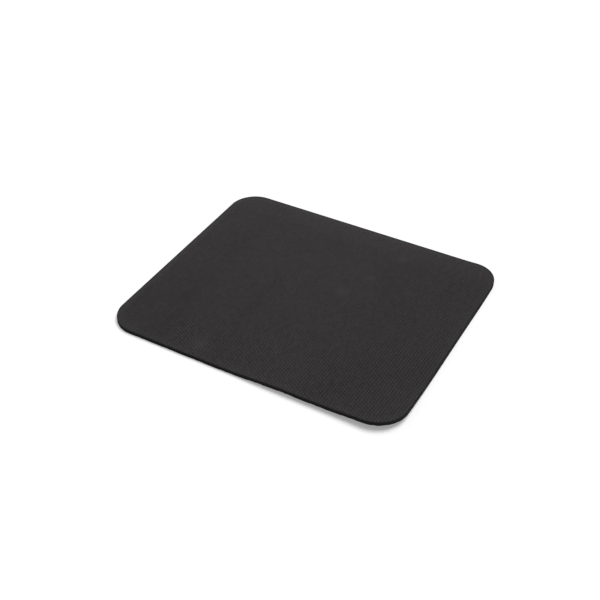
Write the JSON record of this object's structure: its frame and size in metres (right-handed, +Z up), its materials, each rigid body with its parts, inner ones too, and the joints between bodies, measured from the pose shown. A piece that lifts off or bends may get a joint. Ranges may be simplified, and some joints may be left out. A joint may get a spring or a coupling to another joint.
{
  "type": "mouse pad",
  "caption": "Flat rectangular cloth-topped mouse pad with round corners, a sponge core and a treaded rubber underside; a corner curls up slightly.",
  "frame": {"origin": "on the desk surface, under the middle of the pad", "axes": "+X along the long side, +Y along the short side, +Z up through the cloth; the curled corner is at +X, -Y"},
  "size_m": [0.235, 0.197, 0.0076],
  "materials": {
    "grip_rubber": "dull moulded skin with a zigzag tread",
    "sponge_rubber": "knife-cut closed-cell sponge, fine pores",
    "hot_melt": "thin bonded film, slightly glossy at its cut edge",
    "black_cloth": "matt black polyester cloth with fine ribs along the short side"
  },
  "bodies": {
    "root": {"grip_base": "grip_rubber", "sponge_core": "sponge_rubber", "adhesive_film": "hot_melt", "top_cloth": "black_cloth"}
  },
  "joints": []
}
